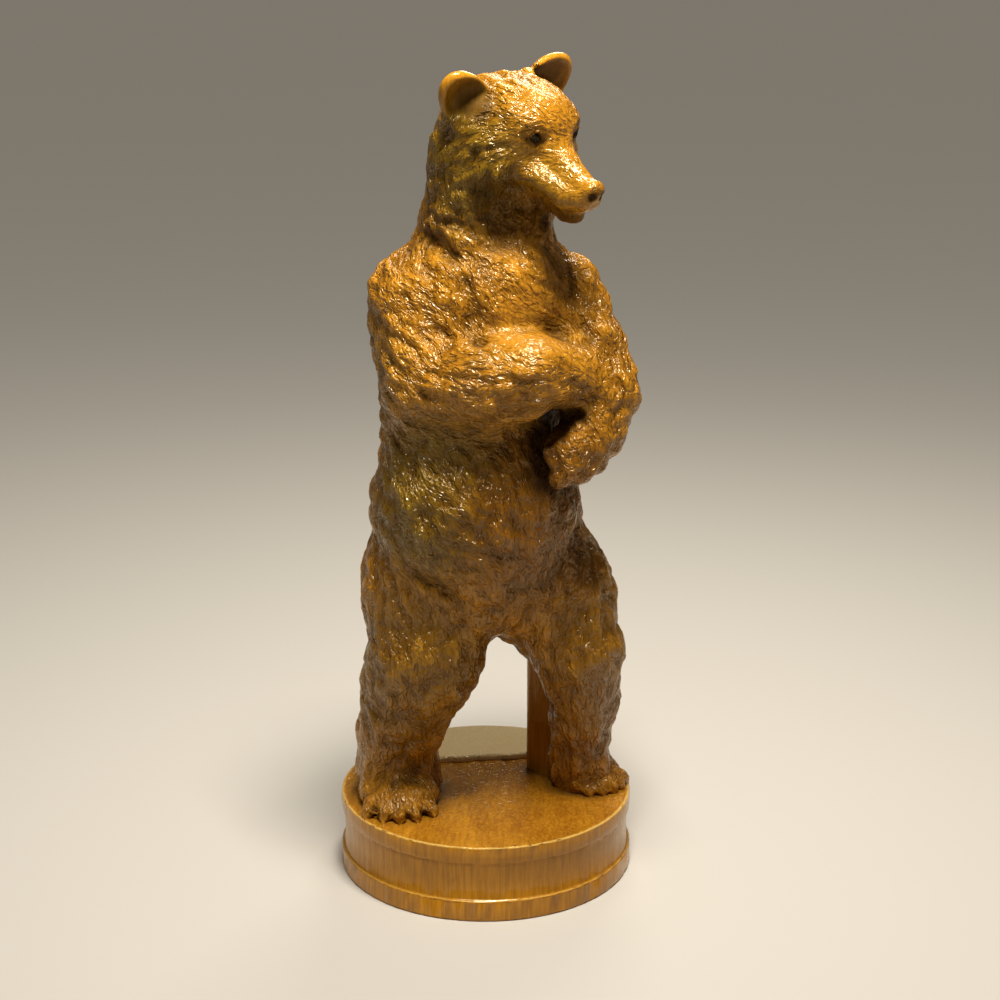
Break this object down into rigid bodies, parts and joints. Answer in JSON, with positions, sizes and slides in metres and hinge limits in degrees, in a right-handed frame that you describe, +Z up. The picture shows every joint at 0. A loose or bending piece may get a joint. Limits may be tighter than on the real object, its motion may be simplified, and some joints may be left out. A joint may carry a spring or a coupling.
{
  "type": "small carved wooden bear on a plinth",
  "caption": "Small varnished wooden bear carved standing upright on a round turned plinth, its forearms held across the body.",
  "frame": {"origin": "centre of the plinth's underside, which it stands on", "axes": "+Z up; the bear's chest faces -Y; the bear's left side is towards +X; the head looks towards +X and -Y"},
  "size_m": [0.035, 0.035, 0.0956],
  "materials": {
    "varnished_wood": "amber gloss varnish over fine-grained light wood, darker in the cuts"
  },
  "bodies": {
    "root": {"carved_bear": "varnished_wood"}
  },
  "joints": []
}
